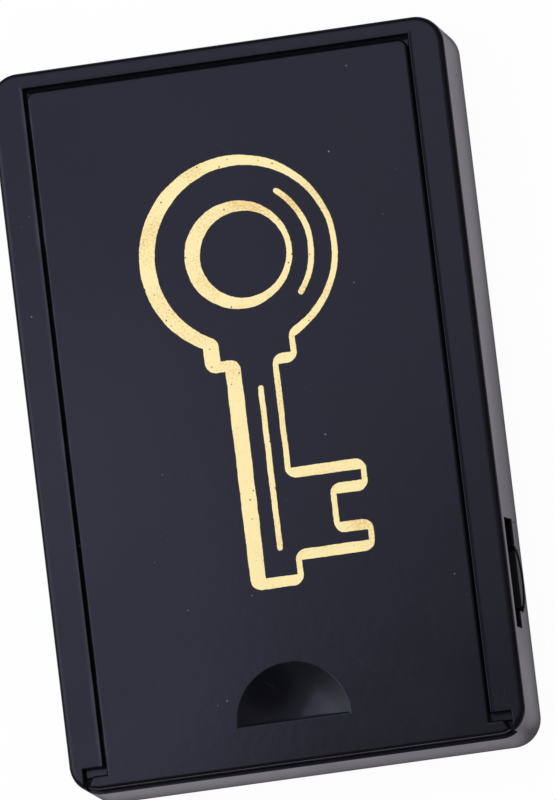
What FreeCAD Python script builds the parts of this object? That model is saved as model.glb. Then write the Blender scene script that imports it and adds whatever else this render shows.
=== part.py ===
import FreeCAD, Part

import math
import os

# A pocket-size key box held on steel by magnets. It lies on its back: +X is to the right,
# +Y is towards the closed head end and +Z comes out of the front. The origin is the centre
# of the rectangle that the pole plates stand on. All sizes are millimetres.

Vector = FreeCAD.Vector

# Box
BODY_WIDTH = 64.4
BODY_LENGTH = 101.6
BODY_DEPTH = 16.0
CORNER_RADIUS = 4.0
INNER_CORNER_LEAST = 0.5
FRONT_EDGE_ROUND = 0.9
BACK_EDGE_ROUND = 0.8
SMALL_EDGE_ROUND = 0.15
SIDE_WALL = 1.9
END_WALL = 1.9
BACK_WALL = 1.2

# Rails that hold the cover, and the ledges that it runs on
RAIL_WIDTH = 4.8
RAIL_THICKNESS = 1.6
RAIL_END_SETBACK = 3.5
RAIL_EDGE_ROUND = 0.15
HEAD_BAR_WIDTH = 2.3
LEDGE_WIDTH = 1.5
LEDGE_HEIGHT = 1.0

# Window in each side wall, with a half-round bay for the inner floor's ear
WINDOW_LENGTH = 15.4
WINDOW_SETBACK = 15.25
WINDOW_FRONT_LIP = 2.6
WINDOW_DEPTH = 7.3
WINDOW_STEP_LENGTH = 2.4
WINDOW_STEP_DEPTH = 2.3
BAY_RADIUS = 4.75
BAY_SETBACK = 22.75
WINDOW_EDGE_ROUND = 0.2
WINDOW_SLANT = 0.07
WITNESS_LINE = 0.12
WITNESS_LINE_SETBACK = 0.35

# Sliding cover
SLIDE_CLEARANCE = 0.15
COVER_RECESS = 0.3
PANEL_THICKNESS = 1.6
PANEL_GAP = 0.35
PANEL_CORNER_RADIUS = 1.3
PANEL_EDGE_ROUND = 0.45
HEAD_GAP = 0.6
STEP_WALL = 1.3
FLANGE_THICKNESS = 1.1
FLANGE_SIDE_GAP = 0.25
FLANGE_HEAD_GAP = 0.3
EAR_HEIGHT = 2.4
EAR_TOP_GAP = 1.2
EAR_END_GAP = 0.3
EAR_CORNER_ROUND = 0.6
END_SEAM = 0.3
END_BAR_RECESS = 0.5

# Thumb scoop in the cover
SCOOP_RADIUS = 8.0
SCOOP_DEPTH = 2.0
SCOOP_SETBACK = 6.4
SCOOP_SHELL = 1.2
SCOOP_WALL_DRAFT = 14.0
SCOOP_RIM_ROUND = 0.4

# Magnets, each a ferrite bar between two steel pole plates
MAGNET_LENGTH = 40.0
MAGNET_WIDTH = 12.0
MAGNET_HEIGHT = 3.0
POLE_PLATE_THICKNESS = 1.5
POLE_STAND_OUT = 0.5
POCKET_CLEARANCE = 0.1
POCKET_WALL = 1.2

# Inner floor that keeps the magnets down
INNER_FLOOR_THICKNESS = 1.2
INNER_FLOOR_GAP = 0.3
EAR_LUG_WIDTH = 8.0
EAR_LUG_DROP = 2.9
EAR_LUG_INSET = 0.1
HOOK_WIDTH = 8.0
HOOK_REACH = 1.2
HOOK_THICKNESS = 1.2
HOOK_SPACING = 28.0
HOOK_CLEARANCE = 0.1
PAD_RADIUS = 2.0
PAD_SETBACK = 3.6

# Foil key on the cover: a plain ring-bowed key, drawn as an outline
FOIL_THICKNESS = 0.05
FOIL_STROKE = 1.5
FOIL_SHADE = 1.4
FOIL_BOW_RADIUS = 14.0
FOIL_HOLE_RADIUS = 7.6
FOIL_SHAFT_WIDTH = 7.5
FOIL_LENGTH = 61.0
FOIL_CENTRE_Y = 4.6
FOIL_COLLAR_WIDTH = 13.0
FOIL_COLLAR_HEIGHT = 4.0
FOIL_BIT_REACH = 10.5
FOIL_BIT_HEIGHT = 13.0
FOIL_BIT_SETBACK = 3.4
FOIL_WARD_WIDTH = 4.6
FOIL_WARD_HEIGHT = 4.0
FOIL_LINE_WIDTH = 0.8
FOIL_LINE_X = 0.9
FOIL_LINE_TOP_GAP = 5.0
FOIL_LINE_END_GAP = 5.5
FOIL_ARC_RADIUS = 10.3
FOIL_ARC_START = -38.0
FOIL_ARC_END = 52.0

# Levels, from the surface that the box lies on
back_z = POLE_STAND_OUT
floor_z = back_z + BACK_WALL
front_z = back_z + BODY_DEPTH
rail_under_z = front_z - RAIL_THICKNESS
flange_top_z = rail_under_z - SLIDE_CLEARANCE
flange_under_z = flange_top_z - FLANGE_THICKNESS
guide_z = flange_under_z - SLIDE_CLEARANCE
cover_front_z = front_z - COVER_RECESS
panel_under_z = cover_front_z - PANEL_THICKNESS
bar_under_z = guide_z + END_SEAM
magnet_top_z = floor_z + MAGNET_HEIGHT
inner_floor_top_z = magnet_top_z + INNER_FLOOR_THICKNESS

# Places across and along
half_width = BODY_WIDTH / 2
half_length = BODY_LENGTH / 2
inner_half_width = half_width - SIDE_WALL
inner_half_length = half_length - END_WALL
inner_corner_radius = max(CORNER_RADIUS - SIDE_WALL, INNER_CORNER_LEAST)
opening_half_width = half_width - RAIL_WIDTH
opening_head_y = half_length - HEAD_BAR_WIDTH
rail_end_y = -half_length + RAIL_END_SETBACK
panel_half_width = opening_half_width - PANEL_GAP
panel_head_y = opening_head_y - HEAD_GAP
flange_half_width = inner_half_width - FLANGE_SIDE_GAP
flange_head_y = inner_half_length - FLANGE_HEAD_GAP
ear_top_y = -half_length + EAR_HEIGHT
bar_end_y = -half_length + END_BAR_RECESS
bay_y = -half_length + BAY_SETBACK
scoop_y = -half_length + SCOOP_SETBACK
magnet_y = -bay_y
foil_low_y = FOIL_CENTRE_Y - FOIL_LENGTH / 2
foil_bow_y = foil_low_y + FOIL_LENGTH - FOIL_BOW_RADIUS
window_low_y = -half_length + WINDOW_SETBACK
window_high_y = window_low_y + WINDOW_LENGTH
window_high_z = front_z - WINDOW_FRONT_LIP
window_low_z = window_high_z - WINDOW_DEPTH

# How far a cutting tool reaches past what it cuts, and how near counts as equal
tool_margin = 5.0
tolerance = 1e-6


def box(x_low, x_high, y_low, y_high, z_low, z_high):
    """Return a box between two corners."""
    corner = Vector(x_low, y_low, z_low)
    return Part.makeBox(x_high - x_low, y_high - y_low, z_high - z_low, corner)


def rounded_prism(half_x, y_low, y_high, radius, z_low, z_high):
    """Return an upright block, centred on X, with its four upright edges rounded."""
    block = box(-half_x, half_x, y_low, y_high, z_low, z_high)
    upright = [edge for edge in block.Edges if is_upright(edge)]
    return block.makeFillet(radius, upright)


def is_upright(edge):
    """Say whether an edge runs along Z."""
    ends = [vertex.Point for vertex in edge.Vertexes]
    if len(ends) < 2:
        return False
    run = ends[1] - ends[0]
    return abs(run.z) > tolerance and math.hypot(run.x, run.y) < tolerance


def upright_edges_at_y(shape, y):
    """Return the edges along Z at one place along Y."""
    upright = [edge for edge in shape.Edges if is_upright(edge)]
    return [edge for edge in upright if abs(edge.Vertexes[0].Y - y) < tolerance]


def edges_at_level(shape, level):
    """Return the edges that lie wholly at one height."""
    found = []
    for edge in shape.Edges:
        bounds = edge.BoundBox
        if abs(bounds.ZMin - level) < tolerance and abs(bounds.ZMax - level) < tolerance:
            found.append(edge)
    return found


def within(edge, x_reach, y_low, y_high):
    """Say whether an edge is within x_reach of the middle and between two places along Y."""
    bounds = edge.BoundBox
    across = max(-bounds.XMin, bounds.XMax) < x_reach + tolerance
    return across and bounds.YMin > y_low - tolerance and bounds.YMax < y_high + tolerance


def both_sides(solid):
    """Return a solid together with its mirror image across the YZ plane."""
    return [solid, solid.mirror(Vector(0, 0, 0), Vector(1, 0, 0))]


def body_outline(z_low, z_high):
    """Return a block with the outline of the box."""
    return rounded_prism(half_width, -half_length, half_length, CORNER_RADIUS, z_low, z_high)


def magnet_places():
    """Return the name and centre line of each magnet, from the head end down."""
    return (("upper", magnet_y), ("lower", -magnet_y))


def plate_places(centre_y):
    """Return the side name and low edge of the two pole plates of one magnet."""
    head_y = centre_y + MAGNET_WIDTH / 2
    mouth_y = centre_y - MAGNET_WIDTH / 2 - POLE_PLATE_THICKNESS
    return (("head_side", head_y), ("mouth_side", mouth_y))


def outer_shell():
    """Return the solid block of the box with its front and back edges rounded."""
    block = body_outline(back_z, front_z)
    block = block.makeFillet(FRONT_EDGE_ROUND, edges_at_level(block, front_z))
    return block.makeFillet(BACK_EDGE_ROUND, edges_at_level(block, back_z))


def cavity_tool():
    """Return what is hollow: the key space, the front opening and the cover's way out."""
    wide = inner_half_width
    narrow = opening_half_width
    above = front_z + tool_margin
    outside_y = -half_length - tool_margin
    corner = inner_corner_radius
    hollow = rounded_prism(wide, -inner_half_length, inner_half_length, corner, floor_z, rail_under_z)
    opening = box(-narrow, narrow, outside_y, opening_head_y, guide_z, above)
    way_out = box(-wide, wide, outside_y, rail_end_y, guide_z, above)
    return hollow.fuse([opening, way_out])


def slanted_y(y, z):
    """Return how far along a window's end line is at one height, as the ends lean to the head."""
    return y + WINDOW_SLANT * (window_high_z - z)


def window_tool():
    """Return the cutter of the right side window and its half-round bay."""
    x_low = inner_half_width
    reach = half_width + tool_margin - x_low
    step_y = window_low_y + WINDOW_STEP_LENGTH
    step_z = window_low_z + WINDOW_STEP_DEPTH
    corners = [
        Vector(x_low, window_low_y, window_high_z),
        Vector(x_low, window_high_y, window_high_z),
        Vector(x_low, slanted_y(window_high_y, window_low_z), window_low_z),
        Vector(x_low, slanted_y(step_y, window_low_z), window_low_z),
        Vector(x_low, slanted_y(step_y, step_z), step_z),
        Vector(x_low, slanted_y(window_low_y, step_z), step_z),
    ]
    face = Part.Face(Part.makePolygon(corners + corners[:1]))
    slot = face.extrude(Vector(reach, 0, 0))
    centre = Vector(x_low, bay_y, window_low_z)
    bay = Part.makeCylinder(BAY_RADIUS, reach, centre, Vector(1, 0, 0))
    bay_low_y = bay_y - BAY_RADIUS
    below_slot = box(x_low, x_low + reach, bay_low_y, bay_y + BAY_RADIUS, back_z, window_low_z)
    return slot.fuse(bay.common(below_slot)).removeSplitter()


def window_edges(shape):
    """Return the outer edges of both windows, on the outside of the side walls."""
    found = []
    for edge in shape.Edges:
        bounds = edge.BoundBox
        on_wall = bounds.XLength < tolerance and abs(abs(bounds.XMin) - half_width) < tolerance
        along_window = within(edge, half_width, window_low_y, slanted_y(window_high_y, window_low_z))
        if on_wall and along_window and bounds.ZMax < window_high_z + tolerance:
            found.append(edge)
    return found


def witness_line_tool():
    """Return the cutter of the fine line that the mould's side core left below the window."""
    x_low = half_width - WITNESS_LINE
    high_y = window_high_y - WITNESS_LINE_SETBACK
    top_z = window_low_z - 2 * WINDOW_EDGE_ROUND
    low_z = back_z - tool_margin
    corners = [
        Vector(x_low, slanted_y(high_y - WITNESS_LINE, top_z), top_z),
        Vector(x_low, slanted_y(high_y, top_z), top_z),
        Vector(x_low, slanted_y(high_y, low_z), low_z),
        Vector(x_low, slanted_y(high_y - WITNESS_LINE, low_z), low_z),
    ]
    face = Part.Face(Part.makePolygon(corners + corners[:1]))
    return face.extrude(Vector(WITNESS_LINE + tool_margin, 0, 0))


def ledges():
    """Return the two ledges that carry the cover's flanges."""
    ledge = box(
        inner_half_width - LEDGE_WIDTH,
        inner_half_width,
        -inner_half_length,
        inner_half_length,
        guide_z - LEDGE_HEIGHT,
        guide_z,
    )
    return both_sides(ledge)


def magnet_pocket(centre_y):
    """Return the rib that frames one magnet on the inside of the back wall."""
    inner_x = MAGNET_LENGTH / 2 + POCKET_CLEARANCE
    inner_y = MAGNET_WIDTH / 2 + POLE_PLATE_THICKNESS + POCKET_CLEARANCE
    frame = box(
        -inner_x - POCKET_WALL,
        inner_x + POCKET_WALL,
        centre_y - inner_y - POCKET_WALL,
        centre_y + inner_y + POCKET_WALL,
        floor_z,
        magnet_top_z,
    )
    space = box(-inner_x, inner_x, centre_y - inner_y, centre_y + inner_y, floor_z, magnet_top_z)
    return frame.cut(space)


def corner_pads():
    """Return the four posts that carry the inner floor near its corners."""
    pads = []
    reach = PAD_RADIUS + PAD_SETBACK
    for x in (-inner_half_width + reach, inner_half_width - reach):
        for y in (-inner_half_length + reach, inner_half_length - reach):
            pads.append(Part.makeCylinder(PAD_RADIUS, MAGNET_HEIGHT, Vector(x, y, floor_z)))
    return pads


def floor_hooks():
    """Return the two hooks on the head wall that hold down the inner floor's edge."""
    hooks = []
    low_z = inner_floor_top_z + HOOK_CLEARANCE
    for x in (-HOOK_SPACING / 2, HOOK_SPACING / 2):
        hooks.append(
            box(
                x - HOOK_WIDTH / 2,
                x + HOOK_WIDTH / 2,
                inner_half_length - HOOK_REACH,
                inner_half_length,
                low_z,
                low_z + HOOK_THICKNESS,
            )
        )
    return hooks


def pole_slots():
    """Return the cutters of the slots in the back wall that the pole plates stand through."""
    slots = []
    reach = MAGNET_LENGTH / 2 + POCKET_CLEARANCE
    for _, centre_y in magnet_places():
        for _, low_y in plate_places(centre_y):
            low = low_y - POCKET_CLEARANCE
            high = low_y + POLE_PLATE_THICKNESS + POCKET_CLEARANCE
            slots.append(box(-reach, reach, low, high, back_z - tool_margin, floor_z))
    return slots


def rail_edges(shape):
    """Return the front edges along the opening's two sides and its head."""
    front = edges_at_level(shape, front_z)
    return [edge for edge in front if within(edge, opening_half_width, rail_end_y, opening_head_y)]


def notch_edges(shape):
    """Return the front edges of the two notches at the rails' ends."""
    front = edges_at_level(shape, front_z)
    return [edge for edge in front if within(edge, inner_half_width, -half_length, rail_end_y)]


def make_box_body():
    """Return the moulded box with its rails, windows, ledges and magnet pockets."""
    body = outer_shell().cut(cavity_tool())
    body = body.makeFillet(RAIL_EDGE_ROUND, rail_edges(body))
    body = body.makeFillet(SMALL_EDGE_ROUND, notch_edges(body))
    body = body.cut(both_sides(window_tool()))
    body = body.makeFillet(WINDOW_EDGE_ROUND, window_edges(body))
    added = ledges() + corner_pads() + floor_hooks()
    added += [magnet_pocket(centre_y) for _, centre_y in magnet_places()]
    body = body.fuse(added)
    return body.cut(both_sides(witness_line_tool()) + pole_slots()).removeSplitter()


def end_bar_outline():
    """Return a block with the outline of the cover's end bar and its two ears.

    Its end stands a little inside the box's, so the box's end wall makes a fine ledge below it.
    """
    top = inner_half_width - EAR_TOP_GAP
    low = inner_half_width - EAR_END_GAP
    corners = [
        Vector(-top, ear_top_y, bar_under_z),
        Vector(top, ear_top_y, bar_under_z),
        Vector(low, bar_end_y, bar_under_z),
        Vector(-low, bar_end_y, bar_under_z),
    ]
    face = Part.Face(Part.makePolygon(corners + corners[:1]))
    bar = face.extrude(Vector(0, 0, cover_front_z - bar_under_z))
    bar = bar.makeFillet(EAR_CORNER_ROUND, upright_edges_at_y(bar, ear_top_y))
    inset = END_BAR_RECESS
    radius = max(CORNER_RADIUS - inset, INNER_CORNER_LEAST)
    limit = rounded_prism(half_width - inset, bar_end_y, half_length, radius, bar_under_z, cover_front_z)
    return bar.common(limit)


def raised_panel():
    """Return the raised middle of the cover, rounded at its head corners."""
    half = panel_half_width
    low_y = -half_length + END_WALL
    block = box(-half, half, low_y, panel_head_y, flange_under_z, cover_front_z)
    return block.makeFillet(PANEL_CORNER_RADIUS, upright_edges_at_y(block, panel_head_y))


def cover_flange():
    """Return the plate whose edges run under the rails."""
    half = flange_half_width
    block = box(-half, half, ear_top_y, flange_head_y, flange_under_z, flange_top_z)
    return block.makeFillet(inner_corner_radius, upright_edges_at_y(block, flange_head_y))


def scoop_dish(radius_extra, depth):
    """Return the half dish of the thumb scoop, widened by radius_extra, down to depth."""
    rim = SCOOP_RADIUS + radius_extra
    ball_radius = (rim * rim + depth * depth) / (2 * depth)
    centre = Vector(0, scoop_y, cover_front_z - depth + ball_radius)
    ball = Part.makeSphere(ball_radius, centre)
    low_y = scoop_y - radius_extra
    head_side = box(-rim, rim, low_y, low_y + 2 * rim, cover_front_z - rim, cover_front_z + rim)
    head_side.rotate(Vector(0, low_y, cover_front_z), Vector(1, 0, 0), SCOOP_WALL_DRAFT)
    below_front = box(-rim, rim, low_y, low_y + 2 * rim, cover_front_z - rim, cover_front_z)
    return ball.common(head_side).common(below_front)


def make_sliding_cover():
    """Return the cover: raised panel, flanges, end bar with ears and thumb scoop."""
    cover = raised_panel().fuse([cover_flange(), end_bar_outline()]).removeSplitter()
    cover = cover.makeFillet(PANEL_EDGE_ROUND, edges_at_level(cover, cover_front_z))
    hollow = box(
        -panel_half_width + STEP_WALL,
        panel_half_width - STEP_WALL,
        -half_length + END_WALL + STEP_WALL,
        panel_head_y - STEP_WALL,
        flange_under_z - tool_margin,
        panel_under_z,
    )
    cover = cover.cut(hollow)
    boss = scoop_dish(SCOOP_SHELL, SCOOP_DEPTH + SCOOP_SHELL)
    wide = half_width
    under_panel = box(-wide, wide, -half_length, half_length, flange_under_z, panel_under_z)
    cover = cover.fuse(boss.common(under_panel))
    cover = cover.cut(scoop_dish(0.0, SCOOP_DEPTH)).removeSplitter()
    return cover.makeFillet(SCOOP_RIM_ROUND, scoop_rim(cover))


def scoop_rim(shape):
    """Return the edges of the thumb scoop on the cover's front."""
    front = edges_at_level(shape, cover_front_z)
    return [edge for edge in front if within(edge, SCOOP_RADIUS, scoop_y, scoop_y + SCOOP_RADIUS)]


def make_inner_floor():
    """Return the plate over the magnets, with a half-round ear in each side window."""
    plate = rounded_prism(
        inner_half_width - INNER_FLOOR_GAP,
        -inner_half_length + INNER_FLOOR_GAP,
        inner_half_length - INNER_FLOOR_GAP,
        inner_corner_radius,
        magnet_top_z,
        inner_floor_top_z,
    )
    half_chord = EAR_LUG_WIDTH / 2
    radius = (half_chord**2 + EAR_LUG_DROP**2) / (2 * EAR_LUG_DROP)
    centre_z = inner_floor_top_z - EAR_LUG_DROP + radius
    inner_x = inner_half_width - INNER_FLOOR_GAP
    outer_x = half_width - EAR_LUG_INSET
    centre = Vector(inner_x, bay_y, centre_z)
    ear = Part.makeCylinder(radius, outer_x - inner_x, centre, Vector(1, 0, 0))
    below_top = box(inner_x, outer_x, bay_y - radius, bay_y + radius, back_z, inner_floor_top_z)
    ear = ear.common(below_top)
    outer_edges = [edge for edge in ear.Edges if edge.BoundBox.XMin > outer_x - tolerance]
    ear = ear.makeFillet(SMALL_EDGE_ROUND, outer_edges)
    return plate.fuse(both_sides(ear)).removeSplitter()


def make_magnet(centre_y):
    """Return one ferrite bar, lying on the inside of the back wall."""
    reach = MAGNET_LENGTH / 2
    half = MAGNET_WIDTH / 2
    return box(-reach, reach, centre_y - half, centre_y + half, floor_z, magnet_top_z)


def make_pole_plate(low_y):
    """Return one steel pole plate, standing out of the back."""
    reach = MAGNET_LENGTH / 2
    return box(-reach, reach, low_y, low_y + POLE_PLATE_THICKNESS, 0, magnet_top_z)


def flat_rectangle(x_low, x_high, y_low, y_high):
    """Return a flat face on the cover's front."""
    return Part.makePlane(x_high - x_low, y_high - y_low, Vector(x_low, y_low, cover_front_z))


def flat_disc(radius, x, y):
    """Return a flat round face on the cover's front."""
    circle = Part.makeCircle(radius, Vector(x, y, cover_front_z))
    return Part.Face(Part.Wire(circle))


def foil_outline():
    """Return the filled outline of the key: bow, collar, shaft and bit."""
    collar_y = foil_bow_y - FOIL_BOW_RADIUS - FOIL_COLLAR_HEIGHT / 2
    half_shaft = FOIL_SHAFT_WIDTH / 2
    half_collar = FOIL_COLLAR_WIDTH / 2
    bit_low = foil_low_y + FOIL_BIT_SETBACK
    bit_x = half_shaft + FOIL_BIT_REACH
    bow = flat_disc(FOIL_BOW_RADIUS, 0, foil_bow_y)
    shaft = flat_rectangle(-half_shaft, half_shaft, foil_low_y, foil_bow_y)
    collar = flat_rectangle(-half_collar, half_collar, collar_y, collar_y + FOIL_COLLAR_HEIGHT)
    bit = flat_rectangle(0, bit_x, bit_low, bit_low + FOIL_BIT_HEIGHT)
    ward_low = bit_low + (FOIL_BIT_HEIGHT - FOIL_WARD_HEIGHT) / 2
    ward = flat_rectangle(bit_x - FOIL_WARD_WIDTH, bit_x, ward_low, ward_low + FOIL_WARD_HEIGHT)
    whole = bow.fuse([shaft, collar, bit]).cut(ward).removeSplitter()
    return whole.Faces[0]


def foil_shaft_line():
    """Return the shading line along the shaft, with round ends."""
    half = FOIL_LINE_WIDTH / 2
    low_y = foil_low_y + FOIL_LINE_END_GAP
    high_y = foil_bow_y - FOIL_BOW_RADIUS - FOIL_LINE_TOP_GAP
    line = flat_rectangle(FOIL_LINE_X - half, FOIL_LINE_X + half, low_y, high_y)
    ends = [flat_disc(half, FOIL_LINE_X, low_y), flat_disc(half, FOIL_LINE_X, high_y)]
    return line.fuse(ends).removeSplitter()


def foil_bow_line():
    """Return the shading line round the right of the bow, with round ends."""
    centre = Vector(0, foil_bow_y, cover_front_z)
    upwards = Vector(0, 0, 1)
    arc = Part.makeCircle(FOIL_ARC_RADIUS, centre, upwards, FOIL_ARC_START, FOIL_ARC_END)
    return Part.Face(Part.Wire([arc]).makeOffset2D(FOIL_LINE_WIDTH / 2))


def make_key_foil():
    """Return the foil: the key's outline, heavier on the left, its ring and its shading lines."""
    inside = foil_outline().makeOffset2D(-FOIL_STROKE)
    outside = inside.makeOffset2D(FOIL_STROKE)
    stroke = outside.cut(inside.translated(Vector(FOIL_SHADE / 2, 0, 0)))
    hole = flat_disc(FOIL_HOLE_RADIUS, 0, foil_bow_y)
    hole_inside = flat_disc(FOIL_HOLE_RADIUS - FOIL_STROKE, FOIL_SHADE / 2, foil_bow_y)
    lift = Vector(0, 0, FOIL_THICKNESS)
    solids = []
    for area in (stroke, hole.cut(hole_inside), foil_shaft_line(), foil_bow_line()):
        solids += [face.extrude(lift) for face in area.Faces]
    return Part.makeCompound(solids)


def write_node(name, shape):
    """Write one piece to its own file, and print what it is."""
    solids = shape.Solids
    result = solids[0] if len(solids) == 1 else Part.makeCompound(solids)
    print(name, "solids", len(solids), "valid", result.isValid(), "volume", round(result.Volume, 1))
    result.exportStep("parts/" + name + ".step")


def main():
    """Build every piece and write it."""
    os.makedirs("parts", exist_ok=True)
    write_node("box_body", make_box_body())
    write_node("sliding_cover", make_sliding_cover())
    write_node("inner_floor", make_inner_floor())
    write_node("key_foil", make_key_foil())
    for place, centre_y in magnet_places():
        write_node("magnet_" + place, make_magnet(centre_y))
        for side, low_y in plate_places(centre_y):
            write_node("pole_plate_" + place + "_" + side, make_pole_plate(low_y))


main()
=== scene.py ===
import math
from collections import namedtuple

import bmesh
import bpy
from mathutils import Matrix, Vector, noise


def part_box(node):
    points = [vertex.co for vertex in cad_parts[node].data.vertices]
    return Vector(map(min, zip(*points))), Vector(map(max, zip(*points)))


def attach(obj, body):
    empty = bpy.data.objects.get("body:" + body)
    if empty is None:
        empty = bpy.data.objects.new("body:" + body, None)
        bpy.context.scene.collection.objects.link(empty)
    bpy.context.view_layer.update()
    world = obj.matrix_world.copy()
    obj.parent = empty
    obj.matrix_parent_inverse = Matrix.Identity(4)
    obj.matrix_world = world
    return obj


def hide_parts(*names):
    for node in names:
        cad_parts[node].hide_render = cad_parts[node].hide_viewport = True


bl_info = {
    "name": "Magnetic Key Box",
    "version": (1, 0, 0),
    "blender": (4, 5, 0),
    "location": "3D View > Sidebar > Key Box",
    "description": "Finishes a magnetic key box around its packed frame and stages it",
    "category": "Object",
}

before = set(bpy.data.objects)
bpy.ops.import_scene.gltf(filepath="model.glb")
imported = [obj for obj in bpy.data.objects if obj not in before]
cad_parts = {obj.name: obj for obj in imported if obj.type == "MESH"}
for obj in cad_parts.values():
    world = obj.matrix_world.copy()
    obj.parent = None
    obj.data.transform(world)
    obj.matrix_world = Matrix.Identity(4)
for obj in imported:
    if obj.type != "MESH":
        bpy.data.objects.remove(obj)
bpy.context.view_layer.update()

# The object lies on its back: X is across, Y is towards the closed head end, Z comes out of the front.
_, COVER_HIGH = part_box("sliding_cover")
BODY_LOW, BODY_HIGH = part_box("box_body")
_, FLOOR_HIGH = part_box("inner_floor")

# The front opening: from the middle to its sides, and the place of its head along Y.
OPENING_SIDE = 0.0274
OPENING_HEAD = 0.0485

# The raised panel in that opening, in the same way, its thickness, and the place where the rails end.
PANEL_SIDE = 0.02705
PANEL_HEAD = 0.0479
PANEL_THICKNESS = 0.0016
RAIL_END = -0.0473

# Depths under the front between which the raised lip fades out and the floor of the gap sets in, and
# how soft the outline of that floor is.
LIP_FADE = (0.0006, 0.0012)
GROOVE_START = (0.0009, 0.0013)
GROOVE_BLUR = 0.0001

# Where ejector pins met the mouldings, across and along.
FLOOR_PINS = [(x, y) for x in (-0.022, 0.022) for y in (-0.036, 0.0, 0.036)]
COVER_PINS = [(x, y) for x in (-0.018, 0.018) for y in (-0.022, 0.010, 0.040)]

# Sizes of the fine and the broad drift of the foil's outline, and its seed: without one, the drift
# differs in every run.
FINE_DRIFT = 0.0004
BROAD_DRIFT = 0.0025
OUTLINE_SEED = 7

# Chips in the magnets: longest edge of their mesh, size of a chip, the noise under which the surface
# stays whole, and how far out a point counts as near a face, as a share of the whole size.
FERRITE_STEP = 0.0009
CHIP_SIZE = 0.0012
CHIP_LEVEL = 0.15
EDGE_SHARE = 0.45

# Rounds of halving that bring every edge under its step, and the distance under which points are one.
FOIL_ROUNDS = 9
FERRITE_ROUNDS = 6
SAME_PLACE = 1e-6

# Angles in radians: bends that count as flat, and the least bend that shows as an edge.
FLAT_BEND = math.radians(1.0)
STEEL_CREASE = math.radians(40.0)
FERRITE_CREASE = math.radians(35.0)
MARK_CREASE = math.radians(30.0)
MARK_SIDES = 48

# Values between which a pattern sets in, from noise, or from a distance as a share of a size.
PATCH_RANGE = (0.42, 0.68)
SPECK_RIM = (0.6, 1.1)
SCRATCH_RIM = (0.0, 0.03)
# The next range sets the patches of the painted edge highlight.
HIGHLIGHT_PATCH_RANGE = (0.5, 0.72)
THIN_RANGE = (0.98, 1.35)
PINHOLE_RIM = (0.12, 0.24)
DULL_RANGE = (0.45, 0.7)
SINTER_RANGE = (0.15, 0.4)

# Patterns in proportion: broad patches to fine ripple, scratches' length to width, pinholes to grain.
PATCH_SCALE = 0.07
SCRATCH_STRETCH = 70.0
PINHOLE_SCALE = 0.45

# How much paler or darker a second tone is than the first.
CLOUD_TONE = 1.5
FLAKE_TONE = 0.72
SINTER_TONE = 1.9

# Lamps over the left: name, place, turn in degrees, width, power in watts and colour.
OVERHEAD_PANELS = (
    ("overhead", (-0.1917, 0.1917, 0.3), 45.0, 0.5, 0.65, (0.60, 0.60, 1.0)),
    ("overhead_near", (-0.083, 0.010, 0.25), 0.0, 0.078, 0.0095, (0.62, 0.70, 1.0)),
)
FILL_HEIGHT = 0.9
FILL_SIZE = 1.0

# Directions in degrees, as a bearing from X towards Y and an elevation, with the power by which the
# key light falls off and the cosines between which the unlit part of the ceiling sets in.
KEY_DIRECTION = (172.0, 35.0)
KEY_FALL_OFF = 10.0
UNLIT_DIRECTION = (-65.0, 60.0)
UNLIT_EDGE = (0.85, 0.975)

# Heights of a direction of view between which the light at the horizon and from below fades.
HORIZON_FADE = (0.0, 0.22)
BELOW_FADE = (-0.2, -0.02)

# How one black moulding gets a painted highlight in rubbed-looking patches along a line across X, and is
# scratched.
HighlightAndWear = namedtuple("HighlightAndWear", "rub_edge rub_amount scratch_angle scratch_cover")

MAGNETS = ("magnet_upper", "magnet_lower")
POLE_PLATES = (
    "pole_plate_upper_head_side",
    "pole_plate_upper_mouth_side",
    "pole_plate_lower_head_side",
    "pole_plate_lower_mouth_side",
)


def length(name, default, description):
    """Return a property that holds a length in metres."""
    return bpy.props.FloatProperty(
        name=name, default=default, description=description, min=0.0, precision=5, unit="LENGTH"
    )


def share(name, default, description):
    """Return a property that holds a share from 0 to 1."""
    return bpy.props.FloatProperty(
        name=name, default=default, description=description, min=0.0, max=1.0, subtype="FACTOR"
    )


def colour(name, default, description):
    """Return a property that holds a linear colour."""
    return bpy.props.FloatVectorProperty(
        name=name, default=default, description=description, min=0.0, max=1.0, size=3, subtype="COLOR"
    )


def number(name, default, description):
    """Return a property that holds a plain number from 0 up."""
    return bpy.props.FloatProperty(name=name, default=default, description=description, min=0.0)


def angle(name, degrees, description):
    """Return a property that holds an angle, from its value in degrees."""
    return bpy.props.FloatProperty(
        name=name, default=math.radians(degrees), description=description, subtype="ANGLE"
    )


def offset(name, default, description):
    """Return a property that holds a place along an axis, in metres."""
    return bpy.props.FloatProperty(
        name=name, default=default, description=description, precision=5, unit="LENGTH"
    )


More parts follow.
